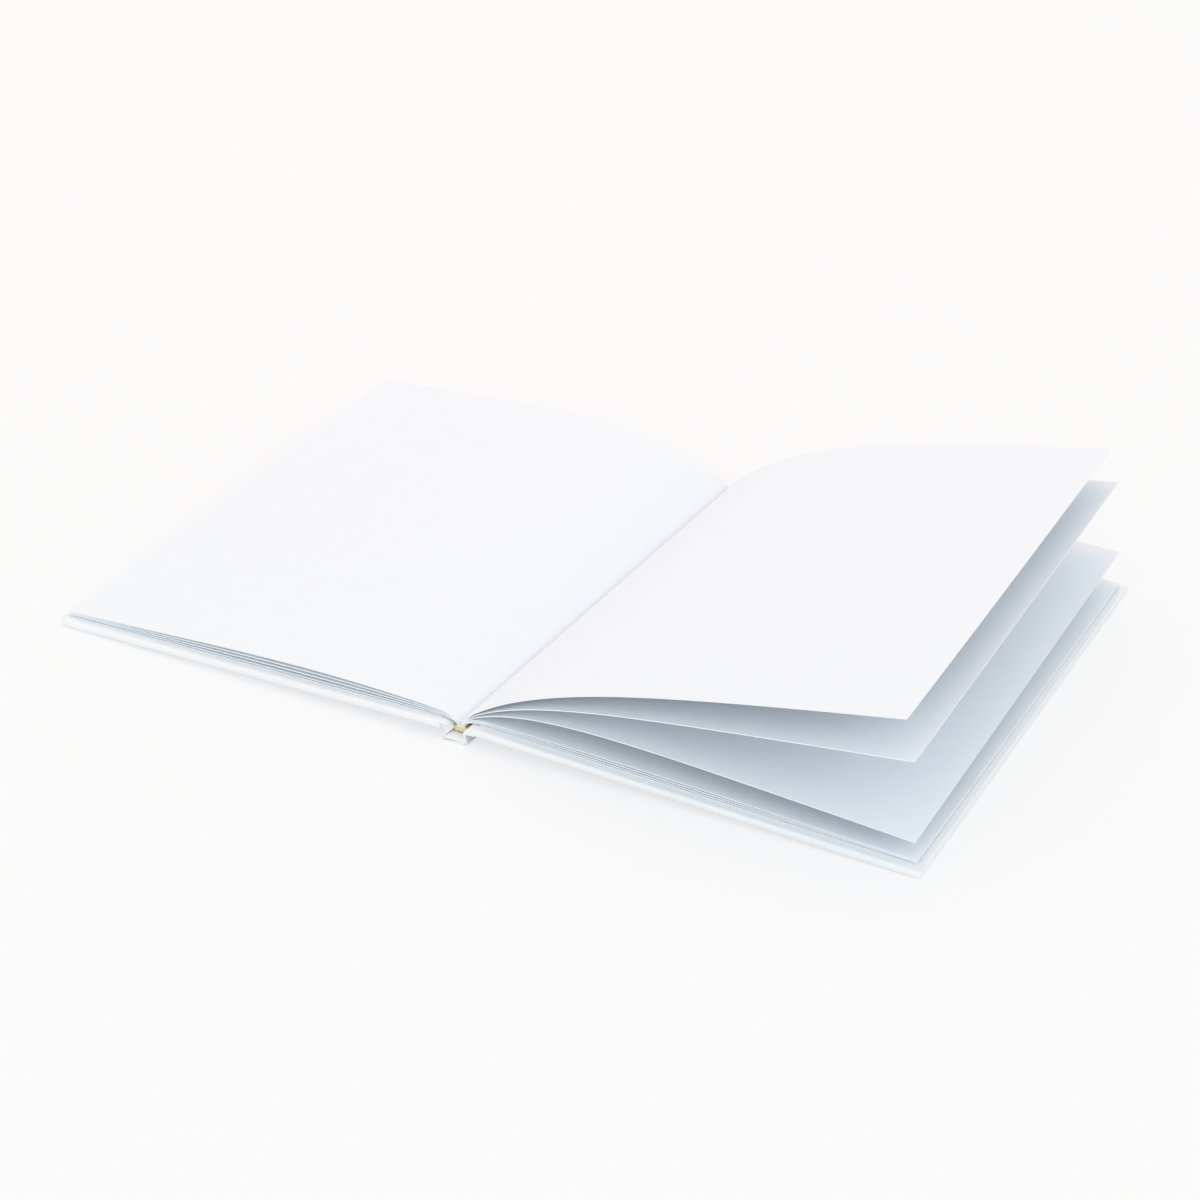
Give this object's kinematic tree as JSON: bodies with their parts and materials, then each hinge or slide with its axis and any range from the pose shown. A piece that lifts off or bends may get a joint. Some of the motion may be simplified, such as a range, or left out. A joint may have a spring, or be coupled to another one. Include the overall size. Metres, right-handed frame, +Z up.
{
  "type": "open book",
  "caption": "Hardcover book with blank pages, lying open near its middle, with some leaves raised in a fan and two covers hinged at the spine.",
  "frame": {"origin": "on the table under the middle of the spine, at the bottom centre of the object's box", "axes": "+X across the open book towards the back cover's fore-edge, +Y along the spine from tail to head, +Z up"},
  "size_m": [0.3078, 0.21, 0.054],
  "materials": {
    "leaf_paper": "matt uncoated",
    "endpaper": "matt uncoated",
    "cover_paper": "smooth matt",
    "board_card": "matt",
    "glue": "waxy"
  },
  "bodies": {
    "book_block": {"pages": "leaf_paper", "spine_glue": "glue", "spine_strip": "board_card", "spine_paper": "cover_paper", "front_joint": "cover_paper", "back_joint": "cover_paper"},
    "front_cover": {"front_board": "board_card", "front_cover_paper": "cover_paper", "front_pastedown": "endpaper"},
    "back_cover": {"back_board": "board_card", "back_cover_paper": "cover_paper", "back_pastedown": "endpaper"}
  },
  "joints": [
    {"name": "front_cover_hinge", "type": "hinge", "parent": "book_block", "child": "front_cover", "pos_m": [-0.0054, 0, 0.0033], "axis": [0, -1, 0], "range_deg": [0, 90]},
    {"name": "back_cover_hinge", "type": "hinge", "parent": "book_block", "child": "back_cover", "pos_m": [0.0062, 0, 0.004], "axis": [0, 1, 0], "range_deg": [0, 90]}
  ]
}
